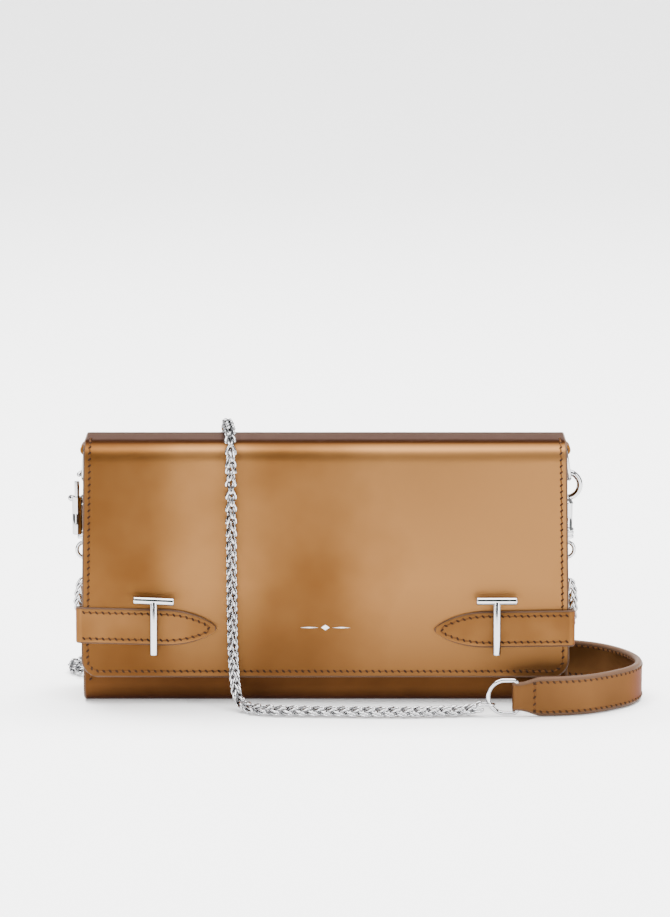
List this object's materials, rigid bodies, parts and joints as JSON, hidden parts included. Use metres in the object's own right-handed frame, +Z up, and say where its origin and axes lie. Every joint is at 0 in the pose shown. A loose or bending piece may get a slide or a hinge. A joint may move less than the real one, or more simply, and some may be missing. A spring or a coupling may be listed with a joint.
{
  "type": "chain wallet",
  "caption": "Long leather wallet on a chain: gusseted case, fold-over flap with toggle bars and tabs, snap hooks, and wheat chain joined by a leather strap.",
  "frame": {"origin": "on the floor under the middle of the closed wallet and its hardware", "axes": "+X to the right along the fold, -Y the front of the flap, +Z up"},
  "size_m": [0.2377, 0.0989, 0.1133],
  "materials": {
    "bronze_leather": "metallic bronze grained leather",
    "card_leather": "smooth dark brown leather",
    "lining": "woven dark brown lining",
    "chrome_hardware": "polished nickel",
    "zip_metal": "satin antique brass",
    "zip_tape": "woven tape"
  },
  "bodies": {
    "case": {"back_panel": "bronze_leather", "base_panel": "bronze_leather", "back_lining": "lining", "left_gusset": "bronze_leather", "right_gusset": "bronze_leather", "pocket_front": "lining", "pocket_back": "lining", "pocket_gusset": "lining", "card_tier_1": "card_leather", "card_tier_2": "card_leather", "card_tier_3": "card_leather", "zip_tape_front": "zip_tape", "zip_tape_back": "zip_tape", "zip_teeth": "zip_metal", "left_ring_tab": "bronze_leather", "right_ring_tab": "bronze_leather", "left_chain": "chrome_hardware", "right_chain": "chrome_hardware", "leather_strap": "bronze_leather", "strap_ring_front": "chrome_hardware", "strap_ring_back": "chrome_hardware"},
    "flap": {"flap": "bronze_leather", "flap_lining": "lining", "left_toggle_bar": "chrome_hardware", "right_toggle_bar": "chrome_hardware", "left_toggle_washer_upper": "chrome_hardware", "left_toggle_washer_lower": "chrome_hardware", "right_toggle_washer_upper": "chrome_hardware", "right_toggle_washer_lower": "chrome_hardware", "left_tab": "bronze_leather", "right_tab": "bronze_leather", "left_flap_magnet": "chrome_hardware", "right_flap_magnet": "chrome_hardware"},
    "front": {"front_panel": "bronze_leather", "front_lining": "lining", "left_case_magnet": "chrome_hardware", "right_case_magnet": "chrome_hardware"},
    "zip_slider": {"zip_slider": "zip_metal"},
    "zip_pull": {"zip_pull": "zip_metal"},
    "left_ring": {"left_d_ring": "chrome_hardware"},
    "left_hook": {"left_hook": "chrome_hardware", "left_spring": "chrome_hardware"},
    "left_bolt": {"left_bolt": "chrome_hardware"},
    "left_eye": {"left_swivel_eye": "chrome_hardware", "left_end_ring": "chrome_hardware"},
    "right_ring": {"right_d_ring": "chrome_hardware"},
    "right_hook": {"right_hook": "chrome_hardware", "right_spring": "chrome_hardware"},
    "right_bolt": {"right_bolt": "chrome_hardware"},
    "right_eye": {"right_swivel_eye": "chrome_hardware", "right_end_ring": "chrome_hardware"}
  },
  "joints": [
    {"name": "flap_hinge", "type": "hinge", "parent": "case", "child": "flap", "pos_m": [0, 0.01945, 0.10525], "axis": [-1, 0, 0], "range_deg": [0, 150], "deforming": ["left_chain"]},
    {"name": "front_panel_tilt", "type": "hinge", "parent": "case", "child": "front", "pos_m": [0, -0.00918, 0.00254], "axis": [1, 0, 0], "range_deg": [0, 4.2]},
    {"name": "zip_slide", "type": "slide", "parent": "case", "child": "zip_slider", "axis": [-1, 0, 0], "range_m": [0, 0.13]},
    {"name": "zip_pull_hinge", "type": "hinge", "parent": "zip_slider", "child": "zip_pull", "pos_m": [0.064, 0.009, 0.0868], "axis": [0, -1, 0], "range_deg": [0, 180]},
    {"name": "left_ring_swing", "type": "hinge", "parent": "case", "child": "left_ring", "pos_m": [-0.0972, 0.007, 0.1021], "axis": [0, 1, 0], "range_deg": [-4, 35]},
    {"name": "left_hook_turn", "type": "hinge", "parent": "left_ring", "child": "left_hook", "pos_m": [-0.0983, 0.007, 0.0868], "axis": [0, 0, 1], "range_deg": [-40, 2]},
    {"name": "left_bolt_slide", "type": "slide", "parent": "left_hook", "child": "left_bolt", "axis": [0, 0, -1], "range_m": [0, 0.004], "stiffness_N_per_m": 150, "springref_m": -0.002, "deforming": ["left_spring"]},
    {"name": "left_eye_swivel", "type": "hinge", "parent": "left_hook", "child": "left_eye", "pos_m": [-0.0983, 0.007, 0.0646], "axis": [0, 0, 1], "continuous": true},
    {"name": "right_ring_swing", "type": "hinge", "parent": "case", "child": "right_ring", "pos_m": [0.0972, 0.007, 0.1021], "axis": [0, -1, 0], "range_deg": [-4, 35], "deforming": ["right_chain"]},
    {"name": "right_hook_turn", "type": "hinge", "parent": "right_ring", "child": "right_hook", "pos_m": [0.09837, 0.007, 0.08691], "axis": [0, 0, 1], "range_deg": [-25, 25]},
    {"name": "right_bolt_slide", "type": "slide", "parent": "right_hook", "child": "right_bolt", "axis": [0, 0, -1], "range_m": [0, 0.004], "stiffness_N_per_m": 150, "springref_m": -0.002, "deforming": ["right_spring"]},
    {"name": "right_eye_swivel", "type": "hinge", "parent": "right_hook", "child": "right_eye", "pos_m": [0.09837, 0.007, 0.06471], "axis": [0, 0, 1], "continuous": true}
  ],
  "couplings": [
    {"joint": "front_panel_tilt", "follows": "flap_hinge", "ratio": 0.026667}
  ]
}
